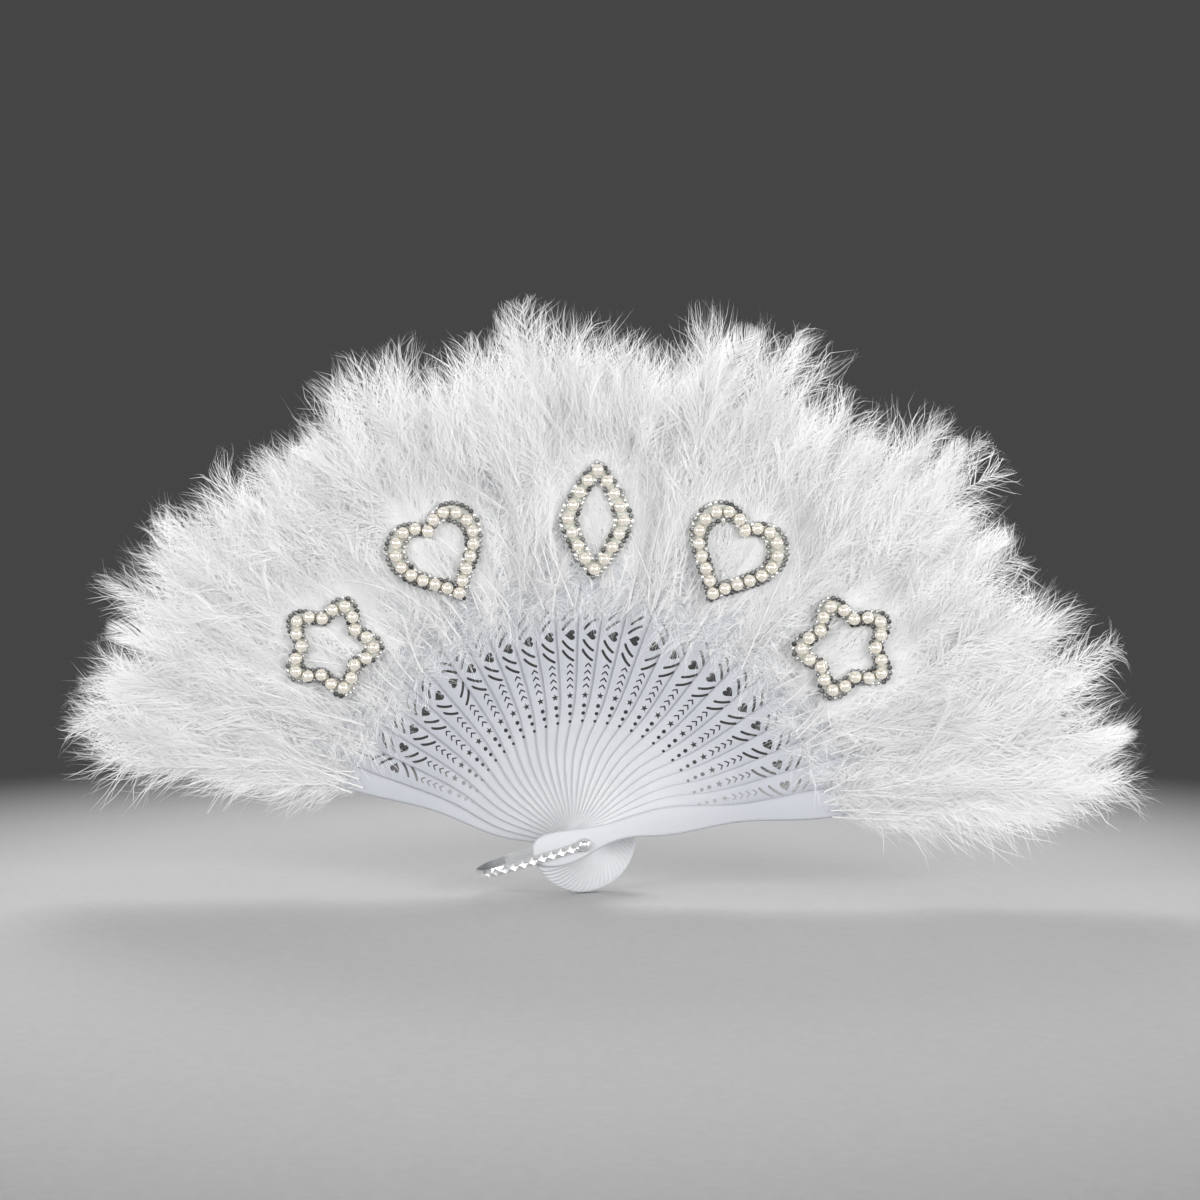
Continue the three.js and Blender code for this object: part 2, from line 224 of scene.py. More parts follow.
def layer_middle(index):
    """Depth of the middle of a stave's layer, from the front to the back, in millimetres."""
    if index == 0:
        return (guard_thick - stack_depth) / 2
    if index == last_stave:
        return (stack_depth - guard_thick) / 2
    front = guard_thick - stack_depth / 2 + layer_gap
    return front + (index - 1) * (stave_thick + layer_gap) + stave_thick / 2


def stand_up(points, angle, depth):
    """Points across, along and to the front of a stave, in millimetres, as places in the frame."""
    across, along, front = np.asarray(points, float).T
    c, s = math.cos(angle), math.sin(angle)
    return np.stack([across * s + along * c, depth - front, -across * c + along * s], 1) * MM


def eased(value, start, end):
    share = np.clip((value - start) / (end - start), 0, 1)
    return share * share * (3 - 2 * share)


def middle_line(along):
    """Where a stave's middle line runs across the stave: bowed to the left from butt to pattern."""
    return -swing * eased(along, butt_at, swing_at) * (1 - eased(along, swing_at, swing_end))


def swung(loop):
    """Points of a stave moved aside with its middle line."""
    return [(x + middle_line(y), y) for x, y in loop]


def stave_outline(guard):
    """Right and left edge of a stave as (across, along) points, from the butt to the tip and back."""
    butt_reach, butt_half = 24, 7.9
    squareness = 2.6 if guard else 4
    tip_reach, tip_round = 200, 8
    tip_flat, tip_corner = 4.5, 3.0
    waist = (72, 8.4) if guard else (65, 8.6)
    # Places along the stave with its width there.
    stations = [
        (butt_at, 2 * butt_half), (15, 8.8), (40, 13), waist, (110, 13.4),
        (tip_reach - tip_round, 2 * (tip_flat + tip_corner)),
    ]
    right = []
    for turn in np.linspace(0, math.pi / 2, 12)[:-1]:
        across = butt_half * math.sin(turn) ** (2 / squareness)
        along = butt_at - (butt_reach + butt_at) * math.cos(turn) ** (2 / squareness)
        right.append((across, along))
    for (start, wide), (end, next_wide) in zip(stations, stations[1:]):
        for along in np.linspace(start, end, 13)[:-1]:
            right.append(((wide + (next_wide - wide) * eased(along, start, end)) / 2, along))
    for turn in np.linspace(0, math.pi / 2, 7):
        corner = tip_flat + tip_corner * math.cos(turn)
        right.append((corner, tip_reach - tip_round * (1 - math.sin(turn))))
    return swung(right + [(-x, y) for x, y in reversed(right) if x > 0])


def round_hole(along, radius, corners):
    turns = np.linspace(0, 2 * math.pi, corners, endpoint=False)
    return [(radius * math.cos(t), along + radius * math.sin(t)) for t in turns]


def star_hole(along, radius):
    """A star with five points, one of them towards the tip of the stave."""
    inner_share = 0.42
    points = []
    for i in range(10):
        reach = radius if i % 2 == 0 else inner_share * radius
        turn = math.pi / 2 + math.pi * i / 5
        points.append((reach * math.cos(turn), along + reach * math.sin(turn)))
    return points


def chevron_hole(along, half, stroke):
    low = along - half / 2 - stroke / 2
    return [
        (-half, low), (0, low + half), (half, low),
        (half, low + stroke), (0, low + half + stroke), (-half, low + stroke),
    ]


def heart_hole(along, side):
    """A heart across the stave, with its lobes to the given side."""
    length, half_width = 5, 2.4
    points = []
    for t in np.linspace(0, 2 * math.pi, 28, endpoint=False):
        up = 13 * math.cos(t) - 5 * math.cos(2 * t) - 2 * math.cos(3 * t) - math.cos(4 * t)
        points.append((side * (up + 1) / 29 * length, along + half_width * math.sin(t) ** 3))
    return points


def slot_hole(aside, along, tilt, bow):
    """A slanted, slightly bowed slot with round ends."""
    half_length, half_width = 3.9, 0.62
    round_end = ((0.5, -0.87), (0.87, -0.5), (1, 0), (0.87, 0.5), (0.5, 0.87))
    spine = [(half_length - half_width) * s for s in np.linspace(-1, 1, 9)]
    upper = [(x, bow * (1 - (x / half_length) ** 2) + half_width) for x in spine]
    lower = [(x, bow * (1 - (x / half_length) ** 2) - half_width) for x in spine]
    right_cap = [
        (spine[-1] + half_width * c, half_width * s + upper[-1][1] - half_width) for c, s in round_end
    ]
    left_cap = [(-x, y) for x, y in reversed(right_cap)]
    ring = lower + right_cap + upper[::-1] + left_cap
    c, s = math.cos(tilt), math.sin(tilt)
    return [(aside + x * c - y * s, along + x * s + y * c) for x, y in ring]


def pierced_holes(index):
    """The pattern of one stave, from the dots near the pin to the dots under the plumage."""
    turned_over = (1, 2, 3, 4, 5, 6, 7, 8, 9, 10, 20, 25)
    side = -1 if index in turned_over else 1
    dots = ((55.4, 0.75), (59, 0.9), (62.6, 1.0))
    star_at, star_radius = 67.4, 1.8
    chevrons_at, chevron_half, chevron_stroke = (71.8, 75.0, 78.2, 81.4), 1.5, 1.0
    heart_at = 95.6
    slots_away, slot_aside, slot_bow = (4.9, 9.4), 0.9, 0.55
    slot_tilt = math.radians(44)
    small_dots_at, small_dot_radius = (108.4, 110.4, 112.4), 0.35
    holes = [round_hole(at, radius, 12) for at, radius in dots]
    holes.append(star_hole(star_at, star_radius))
    holes += [chevron_hole(at, chevron_half, chevron_stroke) for at in chevrons_at]
    holes.append(heart_hole(heart_at, side))
    for away in slots_away:
        holes.append(slot_hole(-slot_aside * side, heart_at - away, -side * slot_tilt, -slot_bow))
        holes.append(slot_hole(-slot_aside * side, heart_at + away, side * slot_tilt, slot_bow))
    holes += [round_hole(at, small_dot_radius, 8) for at in small_dots_at]
    return [swung(hole) for hole in holes]


def moved_in(loop, distance):
    """A closed loop, run through with its inside to the left, whose points move inwards."""
    run = np.roll(loop, -1, 0) - np.roll(loop, 1, 0)
    run = run / np.linalg.norm(run, axis=1)[:, None]
    return loop + distance * np.stack([-run[:, 1], run[:, 0]], 1)


def inside_left(loop):
    """The loop in the order that keeps its inside to the left."""
    loop = np.asarray(loop, float)
    following = np.roll(loop, -1, 0)
    turned_left = np.sum(loop[:, 0] * following[:, 1] - loop[:, 1] * following[:, 0]) > 0
    return loop if turned_left else loop[::-1]


def new_mesh(name, points, faces, edges=()):
    mesh = bpy.data.meshes.new(name)
    mesh.from_pydata(points, edges, faces)
    return mesh


def flat_plate(name, loops, thick, round_over, edge_thick, crown=0.0):
    """A plate with the first loop as its rounded outline and the others as holes.

    crown is how far its faces lean outwards for each millimetre from the middle line.
    """
    outline, *holes = [inside_left(loop) for loop in loops]
    front_turns = np.radians((0, 30, 60, 90))
    rim_turns = [*front_turns, *front_turns[::-1]]
    rings = []
    for turn in front_turns:
        height = edge_thick / 2 + (thick - edge_thick) / 2 * math.cos(turn)
        rings.append((round_over * (1 - math.sin(turn)), height))
    rings += [(inset, -height) for inset, height in reversed(rings)]
    points, faces = [], []
    count = len(outline)
    for inset, height in rings:
        points += [(x, y, height) for x, y in moved_in(outline, inset)]
    for ring in range(len(rings) - 1):
        a, b = ring * count, (ring + 1) * count
        faces += [(a + i, b + i, b + (i + 1) % count, a + (i + 1) % count) for i in range(count)]
    rim_faces = len(faces)
    front, back = list(range(count)), list(range(b, b + count))
    for hole in holes:
        size, start = len(hole), len(points)
        points += [(x, y, thick / 2) for x, y in hole] + [(x, y, -thick / 2) for x, y in hole]
        for i in range(size):
            j = (i + 1) % size
            faces.append((start + i, start + j, start + size + j, start + size + i))
        front += range(start, start + size)
        back += range(start + size, start + 2 * size)
    hole_walls = range(rim_faces, len(faces))
    flat = [moved_in(outline, round_over)] + holes
    for corners in tessellate_polygon([[(x, y, 0) for x, y in loop] for loop in flat]):
        (ax, ay), (bx, by), (cx, cy) = [points[front[k]][:2] for k in corners]
        if (bx - ax) * (cy - ay) < (by - ay) * (cx - ax):
            corners = corners[::-1]
        faces.append([front[k] for k in corners])
        faces.append([back[k] for k in reversed(corners)])
    mesh = new_mesh(name, points, faces)
    mesh.polygons.foreach_set("use_smooth", [i not in hole_walls for i in range(len(faces))])
    outward = outline - moved_in(outline, 1.0)
    leaning = np.zeros((len(mesh.loops), 3))
    for i, face in enumerate(faces):
        if i in hole_walls:
            continue
        first = mesh.polygons[i].loop_start
        for k, corner in enumerate(face):
            x, y, height = points[corner]
            lean = crown * (x - middle_line(y))
            if i < rim_faces:
                turn = rim_turns[corner // count]
                out = outward[corner % count]
                steep = math.sin(turn)
                leaning[first + k] = (
                    out[0] * steep + lean * (1 - steep), out[1] * steep,
                    math.copysign(max(math.cos(turn), 0.05), height),
                )
            else:
                leaning[first + k] = (lean, 0, math.copysign(1, height))
    lengths = np.linalg.norm(leaning, axis=1)[:, None]
    mesh.normals_split_custom_set((leaning / np.maximum(lengths, 1e-9)).tolist())
    return mesh


def mesh_points(mesh):
    points = np.empty(3 * len(mesh.vertices))
    mesh.vertices.foreach_get("co", points)
    return points.reshape(-1, 3)


def set_points(mesh, points):
    mesh.vertices.foreach_set("co", points.ravel())
    mesh.update()


def place_mesh(mesh, angle, depth):
    set_points(mesh, stand_up(mesh_points(mesh), angle, depth))


def finished(name, mesh, material, body, slot, *nodes):
    """Puts a mesh in the scene as a piece on a body."""
    piece = in_scene(name, mesh)
    if material is not None:
        mesh.materials.clear()
        mesh.materials.append(material)
    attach(piece, body)
    if nodes:
        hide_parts(*nodes)
    return piece


def plastic_finish(name, near_pin, painted_shade_far_out, gloss):
    """White moulded plastic, painted darker and bluer away from the pin as painted shade: faint flow
    streaks, fine grain, uneven gloss.
    """
    finish = Finish(name)
    painted_shade_full_at = 0.11
    # Painted shade: the colour darkens and turns bluer from the pin outwards, standing for light through
    # fewer stacked layers; the noise adds real flow clouds.
    tone_and_painted_shade = finish.from_origin((1, 0, 1)) * (1 / painted_shade_full_at) + 0.3 * (finish.noise(38, 4) - 0.5)
    grain = finish.noise(2600, 2)
    finish.set({
        "Base Color": finish.ramp(tone_and_painted_shade, (0.15, *near_pin), (0.7, *painted_shade_far_out)),
        "Roughness": gloss + 0.16 * finish.noise(160, 3),
        "IOR": 1.5,
        "Subsurface Weight": 0.25,
        "Subsurface Radius": (1.0, 1.0, 1.2),
        "Subsurface Scale": 0.0012,
        "Normal": finish.bump(grain, 0.12, 0.00004),
    })
    return finish.material


def threaded_stave(index, holes, thick, rim, material, slot):
    """Makes one stave or guard at its place on the pin."""
    name = stave_name(index)
    loops = [stave_outline(index in guard_staves), round_hole(0, pin_hole, 24)] + holes
    plate = flat_plate(f"{name}_plate", loops, thick, **rim)
    place_mesh(plate, stave_angle(index), layer_middle(index))
    finished(plate.name, plate, material, name, slot, name)


stave_rim = {"round_over": 0.75, "edge_thick": 0.2, "crown": 0.04}
# Colour near the pin, then the darker painted shade far out.
stave_plastic = plastic_finish("stave_plastic", (0.67, 0.68, 0.70), (0.46, 0.475, 0.51), 0.28)
for index in range(1, last_stave):
    threaded_stave(
        index, pierced_holes(index), stave_thick, stave_rim, stave_plastic, "stave_plastic"
    )

# Guard staves. The two outermost strips are thicker, plain and more opaque. The right one
# lies in front of all the others and the left one behind them.
guard_rim = {"round_over": 1.3, "edge_thick": 0.7, "crown": 0.03}
# Colour near the pin, then the darker painted shade far out.
guard_plastic = plastic_finish("guard_plastic", (0.61, 0.62, 0.645), (0.48, 0.495, 0.53), 0.24)
for index in guard_staves:
    threaded_stave(index, [], guard_thick, guard_rim, guard_plastic, "guard_plastic")


# Plumes. Bundles of white marabou feathers glued to every second stave, front and back.
# Each feather is a thin quill with soft barbs on both sides that curl towards its tip.
barb_shapes = bpy.data.collections.new("barb_shapes")


def barb_mesh(name, stations, curl, lift, width):
    """A tapering ribbon one unit long in X that curls towards Y and lifts in Z."""
    curl_power, lift_wave, taper = 2.2, 2.6, 0.55
    points, faces = [], []
    for s in stations[:-1]:
        y, z = curl * s ** curl_power, lift * math.sin(lift_wave * s)
        half = width * (1 - taper * s) / 2
        points += [(s, y - half, z), (s, y + half, z)]
    tip = stations[-1]
    points.append((tip, curl * tip ** curl_power, lift * math.sin(lift_wave * tip)))
    last_pair = len(points) - 3
    for a in range(0, last_pair, 2):
        faces.append((a, a + 2, a + 3, a + 1))
    faces.append((last_pair, last_pair + 2, last_pair + 1))
    mesh = new_mesh(name, points, faces)
    along = mesh.attributes.new("along", "FLOAT", "POINT")
    along.data.foreach_set("value", [p[0] for p in points])
    barb_shapes.objects.link(bpy.data.objects.new(name, mesh))


# Curl and lift of the soft barbs. The shape after them is the straighter barb of broad feathers.
soft_barbs = ((0.28, 0.08), (0.5, -0.12), (0.75, 0.14), (0.05, -0.15), (-0.25, 0.2))
soft_barb_count = len(soft_barbs)
soft_stations, soft_width = (0, 0.36, 0.7, 1), 0.0105
broad_stations, broad_width = (0, 0.45, 1), 0.024
for i, (curl, lift) in enumerate(soft_barbs):
    barb_mesh(f"barb_{i}", soft_stations, curl, lift, soft_width)
barb_mesh(f"barb_{soft_barb_count}", broad_stations, 0.2, 0.02, broad_width)


def start_tree(name, inputs):
    """A new Geometry Nodes tree as a board, and its inputs as wires by name."""
    board = Board(bpy.data.node_groups.new(name, "GeometryNodeTree"))
    for socket, kind in inputs.items():
        board.tree.interface.new_socket(socket, in_out="INPUT", socket_type=f"NodeSocket{kind}")
    group = board.tree.nodes.new("NodeGroupInput")
    return board, {s.name: Wire(board, s) for s in group.outputs if s.name}


def end_tree(board, name, result):
    board.tree.interface.new_socket(name, in_out="OUTPUT", socket_type="NodeSocketGeometry")
    board.plug(board.tree.nodes.new("NodeGroupOutput").inputs[0], result)
    return board.tree


def random_number(board, low, high, seed, each=None):
    """A random number for each element, or for each value of a wire."""
    sockets = {2: low, 3: high, "Seed": seed}
    if each is not None:
        sockets["ID"] = each
    return board.node("FunctionNodeRandomValue", {"data_type": "FLOAT"}, sockets, 1)


def dressed(board, geometry, material):
    return board.node(
        "GeometryNodeSetMaterial", None, {"Geometry": geometry, "Material": material}
    )


def feather_tree():
    """Barbs and shafts on quills, which are chains of edges with the feather's facts at each point."""
    board, size = start_tree("feathers_on_quills", {
        "Quills": "Geometry", "Barb Spacing": "Float", "Tuft Size": "Float", "Tuft Sway": "Float",
        "Wisp Size": "Float", "Wisp Sway": "Float", "Seed": "Int",
        "Barb Finish": "Material", "Shaft Finish": "Material",
    })
    barbs_per_lock = 8
    sway_power, broad_stiffness = 1.5, 0.85
    brush_share, own_share = 0.25, 0.42
    number = board.node("GeometryNodeInputIndex")
    lock = (number * (1 / barbs_per_lock)).through("FLOOR")

    def fact(name, kind="FLOAT"):
        return board.node("GeometryNodeInputNamedAttribute", {"data_type": kind}, {"Name": name})

    def random(low, high, salt, each=number):
        return random_number(board, low, high, size["Seed"] + salt, each)

    def scaled(vector, factor):
        return board.node(
            "ShaderNodeVectorMath", {"operation": "SCALE"}, {"Vector": vector, "Scale": factor}
        )

    quills = board.node("GeometryNodeMeshToCurve", None, {"Mesh": size["Quills"]})
    rooted = board.node(
        "GeometryNodeResampleCurve", {"mode": "LENGTH"},
        {"Curve": quills, "Length": size["Barb Spacing"]},
    )
    ahead = board.node("GeometryNodeInputTangent")
    vane = fact("vane", "FLOAT_VECTOR")
    broad = fact("broad")
    sideways = board.vectors("NORMALIZE", board.vectors("CROSS_PRODUCT", ahead, vane))
    coin = random(-1.0, 1.0, 1).through("SIGN")
    spread = (random(-0.8, 0.2, 2) + random(-0.25, 0.15, 6, lock)) * fact("fluff")
    loose_lean = random(0.75, 1.2, 3) + random(-0.22, 0.22, 7, lock)
    lean = fact("lean") * (loose_lean * (1 - broad) + broad)
    out = board.vectors(
        "ADD",
        scaled(sideways, coin * spread.through("COSINE")),
        scaled(vane, spread.through("SINE")),
    )
    heading = board.vectors(
        "ADD", scaled(ahead, lean.through("COSINE")), scaled(out, lean.through("SINE"))
    )
    rotation = board.node(
        "FunctionNodeAxesToRotation", {"primary_axis": "X", "secondary_axis": "Y"},
        {"Primary Axis": heading, "Secondary Axis": ahead},
    )
    shapes = board.node(
        "GeometryNodeCollectionInfo", None,
        {"Collection": barb_shapes, "Separate Children": True, "Reset Children": True},
    )
    pick = board.node(
        "FunctionNodeRandomValue", {"data_type": "INT"},
        {4: 0, 5: soft_barb_count - 1, "ID": number, "Seed": size["Seed"] + 4}, 2,
    )
    brushed = board.node(
        "GeometryNodeStoreNamedAttribute", {"data_type": "FLOAT_VECTOR", "domain": "POINT"},
        {"Geometry": rooted, "Name": "brush", "Value": heading},
    )
    barbs = board.node(
        "GeometryNodeInstanceOnPoints", None,
        {
            "Points": brushed, "Instance": shapes, "Pick Instance": True,
            "Instance Index": pick * (1 - broad) + soft_barb_count * broad,
            "Rotation": rotation,
            "Scale": fact("reach") * (random(0.3, 1.3, 5) * (1 - broad) + broad),
        },
    )
    swayed = board.node("GeometryNodeRealizeInstances", None, {"Geometry": barbs})
    place = board.node("GeometryNodeInputPosition")
    for sway_size, sway in (("Tuft Size", "Tuft Sway"), ("Wisp Size", "Wisp Sway")):
        drift = board.node(
            "ShaderNodeTexNoise", None,
            {"Vector": place, "Scale": size[sway_size], "Detail": 1.0}, "Color",
        )
        pushed = scaled(
            board.vectors("SUBTRACT", drift, (0.5, 0.5, 0.5)),
            size[sway] * fact("along") ** sway_power * (1 - broad_stiffness * broad),
        )
        swayed = board.node("GeometryNodeSetPosition", None, {"Geometry": swayed, "Offset": pushed})
    normal = board.node("GeometryNodeInputNormal")
    facing = board.vectors("DOT_PRODUCT", normal, vane, "Value")
    turned = board.node(
        "GeometryNodeFlipFaces", None,
        {"Mesh": swayed, "Selection": facing.maths("LESS_THAN", facing, 0.0)},
    )
    soft_normal = board.vectors(
        "ADD", vane,
        board.vectors(
            "ADD", scaled(fact("brush", "FLOAT_VECTOR"), brush_share), scaled(normal, own_share)
        ),
    )
    softened = board.node(
        "GeometryNodeSetMeshNormal", {"mode": "FREE", "domain": "POINT"},
        {"Mesh": turned, "Custom Normal": board.vectors("NORMALIZE", soft_normal)},
    )
    ring = board.node(
        "GeometryNodeCurvePrimitiveCircle", None, {"Resolution": 3, "Radius": 1.0}
    )
    shafts = board.node(
        "GeometryNodeCurveToMesh", None,
        {"Curve": quills, "Profile Curve": ring, "Scale": fact("shaft")},
    )
    both = board.tree.nodes.new("GeometryNodeJoinGeometry")
    for part, finish in ((shafts, "Shaft Finish"), (softened, "Barb Finish")):
        board.plug(both.inputs[0], dressed(board, part, size[finish]))
    return end_tree(board, "Plume", Wire(board, both.outputs[0]))


def barb_finish():
    """Soft white barbs: greyer at the root and darker in streaks of painted shade along the feathers,
    lit through.
    """
    finish = Finish("barb_white")
    shade_streaks_round, shade_streaks_out = 18, 22
    along = finish.node("ShaderNodeAttribute", {"attribute_name": "along"}, None, "Fac")
    # Painted shade: radial streaks of noise grey the barbs, standing for the shaded valleys between
    # feather clumps.
    place = finish.node("ShaderNodeTexCoord", output="Object")
    right = finish.node("ShaderNodeSeparateXYZ", None, {"Vector": place}, "X")
    up = finish.node("ShaderNodeSeparateXYZ", None, {"Vector": place}, "Z")
    polar = finish.node("ShaderNodeCombineXYZ", None, {
        "X": shade_streaks_round * up.maths("ARCTAN2", up, right),
        "Y": shade_streaks_out * finish.from_origin((1, 0, 1)),
    })
    streaks = finish.node(
        "ShaderNodeTexNoise", None, {"Vector": polar, "Scale": 1.0, "Detail": 2.0}, "Fac"
    )
    tone_and_painted_shade = along * 0.3 + finish.noise(60, 3) * 0.25 + streaks * 0.8
    finish.set({
        "Base Color": finish.ramp(tone_and_painted_shade, (0.48, 0.8, 0.8, 0.81), (0.78, 0.97, 0.97, 0.97)),
        "Roughness": 0.75,
        "Specular IOR Level": 0.25,
        "Sheen Weight": 0.3,
        "Sheen Roughness": 0.5,
    })
    lit_through = finish.node("ShaderNodeBsdfTranslucent", None, {"Color": (0.95, 0.95, 0.95, 1)})
    finish.blend(0.28, lit_through)
    return finish.material


def shaft_finish():
    """Bare quill: smooth, horny, a little yellow and glossy."""
    finish = Finish("quill_horn")
    streaks = finish.noise(240, 2)
    finish.set({
        "Base Color": finish.ramp(streaks, (0.3, 0.88, 0.875, 0.86), (0.7, 0.95, 0.947, 0.94)),
        "Roughness": 0.3 + 0.2 * streaks,
    })
    return finish.material


quill_steps = 9
quill_facts = ("reach", "lean", "fluff", "broad", "shaft")
plume_half = 7.0
guard_droop = {0: 0.2, last_stave: 0.24}
mean_reach = 249
plume_reach = (264, 259, 243, 261, 244, 258, 238, 253, 240, 254, 240, 252, 262, 254)


def lay_feather(store, chance, index, facing, radius, aside, turn, length, facts):
    """Adds one quill that starts at a radius, aside of its stave, and is turned away from the radius."""
    bend, tilt_spread, edge_tilt = 0.34, 0.6, 0.6
    blunt = 0.15 if facts["broad"] else 0.6
    depth, angle = layer_middle(index), stave_angle(index) + aside
    shares = np.linspace(0, 1, quill_steps)
    heading = angle + turn + chance.normal(0, bend) * shares
    if index == 0:
        heading = np.maximum(heading, stave_angle(index) - guard_droop[index])
    if index == last_stave:
        heading = np.minimum(heading, stave_angle(index) + guard_droop[index])
    step = length / (quill_steps - 1)
    along = np.stack([np.cos(heading), np.sin(heading)], 1) * step
    flat = np.array([math.cos(angle), math.sin(angle)]) * radius
    flat = flat + np.concatenate([[[0, 0]], np.cumsum(along[:-1], 0)])
    rise = facts["seat"] + facts["lift"] * (1 - (1 - shares) ** 2)
    points = np.stack([flat[:, 0], depth + facing * rise, flat[:, 1]], 1) * MM
    tilt = chance.normal(0, tilt_spread) + edge_tilt * aside / math.radians(plume_half)
    side = np.stack([-np.sin(heading), np.zeros(quill_steps), np.cos(heading)], 1)
    vane = facing * np.array([0, math.cos(tilt), 0]) + math.sin(tilt) * side
    # The barbs swell from the root and shrink again over the last quarter of the quill.
    swell = np.clip(shares * 5, 0.35, 1)
    taper = np.clip((1 - shares) * 4, 0, 1) ** 0.6
    start = len(store["points"])
    store["points"] += list(points)
    store["edges"] += [(start + i, start + i + 1) for i in range(quill_steps - 1)]
    store["vane"] += list(vane)
    store["reach"] += list(facts["reach"] * MM * swell * (blunt + (1 - blunt) * taper))
    store["lean"] += list(np.radians(facts["lean"]) * (0.75 + 0.25 * taper))
    store["fluff"] += [facts["fluff"]] * quill_steps
    store["broad"] += [facts["broad"]] * quill_steps
    store["shaft"] += list(facts["shaft"] * MM * (1.05 - 0.85 * shares))
    store["side"] += [facing] * quill_steps


def spread_aside(chance, i, count):
    """Degrees aside of the stave for one of a row of feathers that spans the plume."""
    return (2 * (i + chance.uniform(0.1, 0.9)) / count - 1) * plume_half


def plume_quills(index, chance):
    """Rows of feathers on one stave, the outer ones first and the down at the inner edge last."""
    store = {key: [] for key in ("points", "edges", "vane", "side", *quill_facts)}
    guard = index in guard_staves
    lump = plume_reach[index // 2] - mean_reach
    sway = chance.normal(0, 3.0)
    fan_out, edge_short, guard_share = 0.9, 0.5, 0.6
    outer_row, broad_further = 150, 8
    broad_share = 0.45 if 2 <= index <= 8 else 0.06
    rows = (
        # facing, count, radius, length, reach, lift
        (-1, 12, (158, 180), (56, 72), (20, 28), (1, 5)),
        (1, 9, (158, 180), (56, 72), (20, 28), (1, 5)),
        (-1, 12, (134, 160), (54, 70), (20, 28), (2, 7)),
        (1, 8, (130, 160), (54, 70), (20, 28), (1, 6)),
        (-1, 14, (107, 132), (44, 60), (17, 24), (1, 5)),
        (1, 9, (108, 134), (44, 60), (17, 24), (1, 5)),
    )
    for facing, count, radii, lengths, reaches, lifts in rows:
        may_be_broad = facing > 0 and radii[0] > outer_row
        for i in range(count):
            aside = spread_aside(chance, i, count)
            turn = aside * fan_out + sway
            short = 1 - edge_short * (aside / plume_half) ** 2
            if index == 0 and aside < 0 or index == last_stave and aside > 0:
                aside *= guard_share
            broad = 1.0 if may_be_broad and chance.random() < broad_share else 0.0
            facts = {
                "seat": chance.uniform(0.8, 2.4),
                "lift": chance.uniform(*lifts) * (1.5 - (aside / plume_half) ** 2),
                "reach": chance.uniform(*reaches) * (0.62 if broad else 1),
                "lean": chance.uniform(30, 52) * (0.9 if broad else 1),
                "fluff": 0.1 if broad else 1.15,
                "broad": broad,
                "shaft": 0.42,
            }
            lay_feather(
                store, chance, index, facing,
                chance.uniform(*radii) + broad_further * broad, math.radians(aside),
                math.radians(turn) + chance.normal(0, 0.17),
                (chance.uniform(*lengths) + lump) * short, facts,
            )
    # Feathers that lie over the rows and stand off a little.
    for facing, count in ((-1, 10), (1, 5)):
        for _ in range(count):
            aside = chance.uniform(-6, 6) * (0.4 if guard else 1)
            facts = {
                "seat": 2.2, "lift": chance.uniform(7, 11),
                "reach": chance.uniform(9, 19), "lean": chance.uniform(16, 34),
                "fluff": 0.45, "broad": 0.0, "shaft": 0.45,
            }
            lay_feather(
                store, chance, index, facing, chance.uniform(116, 178), math.radians(aside),
                chance.normal(0, 0.4), chance.uniform(36, 60), facts,
            )
    # Tufts of down, of which every second one points back to the pin, though not on a guard.
    for facing, count in ((-1, 30), (1, 14)):
        for i in range(count):
            aside = spread_aside(chance, i, count) * (0.3 if guard else 1)
            turn = chance.normal(0, 0.7) + (0 if i % 2 or guard else math.pi)
            facts = {
                "seat": chance.uniform(0.5, 2), "lift": chance.uniform(0.5, 3),
                "reach": chance.uniform(10, 18), "lean": chance.uniform(25, 65),
                "fluff": 1.3, "broad": 0.0, "shaft": 0.06,
            }
            lay_feather(
                store, chance, index, facing, chance.uniform(113, 127), math.radians(aside),
                turn, chance.uniform(6, 15), facts,
            )
    return store


def one_side(store, facing):
    """The feathers that lie on one side of their stave."""
    kept = [i for i, side in enumerate(store["side"]) if side == facing]
    place = {old: new for new, old in enumerate(kept)}
    half = {key: [values[i] for i in kept] for key, values in store.items() if key != "edges"}
    half["edges"] = [(place[a], place[b]) for a, b in store["edges"] if a in place]
    return half


def quill_object(name, store):
    mesh = new_mesh(name, [tuple(p) for p in store["points"]], [], store["edges"])
    for fact in quill_facts:
        layer = mesh.attributes.new(fact, "FLOAT", "POINT")
        layer.data.foreach_set("value", store[fact])
    layer = mesh.attributes.new("vane", "FLOAT_VECTOR", "POINT")
    layer.data.foreach_set("vector", np.asarray(store["vane"]).ravel())
    return in_scene(name, mesh)


def grown(holder, tree, values):
    """The holder's mesh after a node tree with these values by socket name, as a plain mesh."""
    modifier = holder.modifiers.new("grown", "NODES")
    modifier.node_group = tree
    for item in tree.interface.items_tree:
        if item.in_out == "INPUT" and item.name in values:
            modifier[item.identifier] = values[item.name]
    made = holder.evaluated_get(bpy.context.evaluated_depsgraph_get())
    mesh = bpy.data.meshes.new_from_object(made)
    holder.modifiers.remove(modifier)
    bpy.data.objects.remove(holder)
    return mesh


# Motif, angle and half sizes of the patches, which press the feathers under them flat.
patch_radius = 149
patch_felt = 1.2
patch_places = {
    "flower_patch_right": ("flower", 37.0, 20, 20),
    "heart_patch_right": ("heart", 62.8, 19, 20),
    "lozenge_patch": ("lozenge", 88.0, 13, 23),
    "heart_patch_left": ("heart", 117.0, 19, 20),
    "flower_patch_left": ("flower", 143.0, 20, 20),
}
pearl_rise = 5.1


def felt_back(name):
    """Depth of the back of a patch's felt, in millimetres."""
    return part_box(name)[0][1] / MM + pearl_rise


plume_depth = 10


def held_back(values, start, room):
    """Values past the start, slowed so that none gets further past it than the room."""
    return np.where(values > start, start + room * np.tanh((values - start) / room), values)


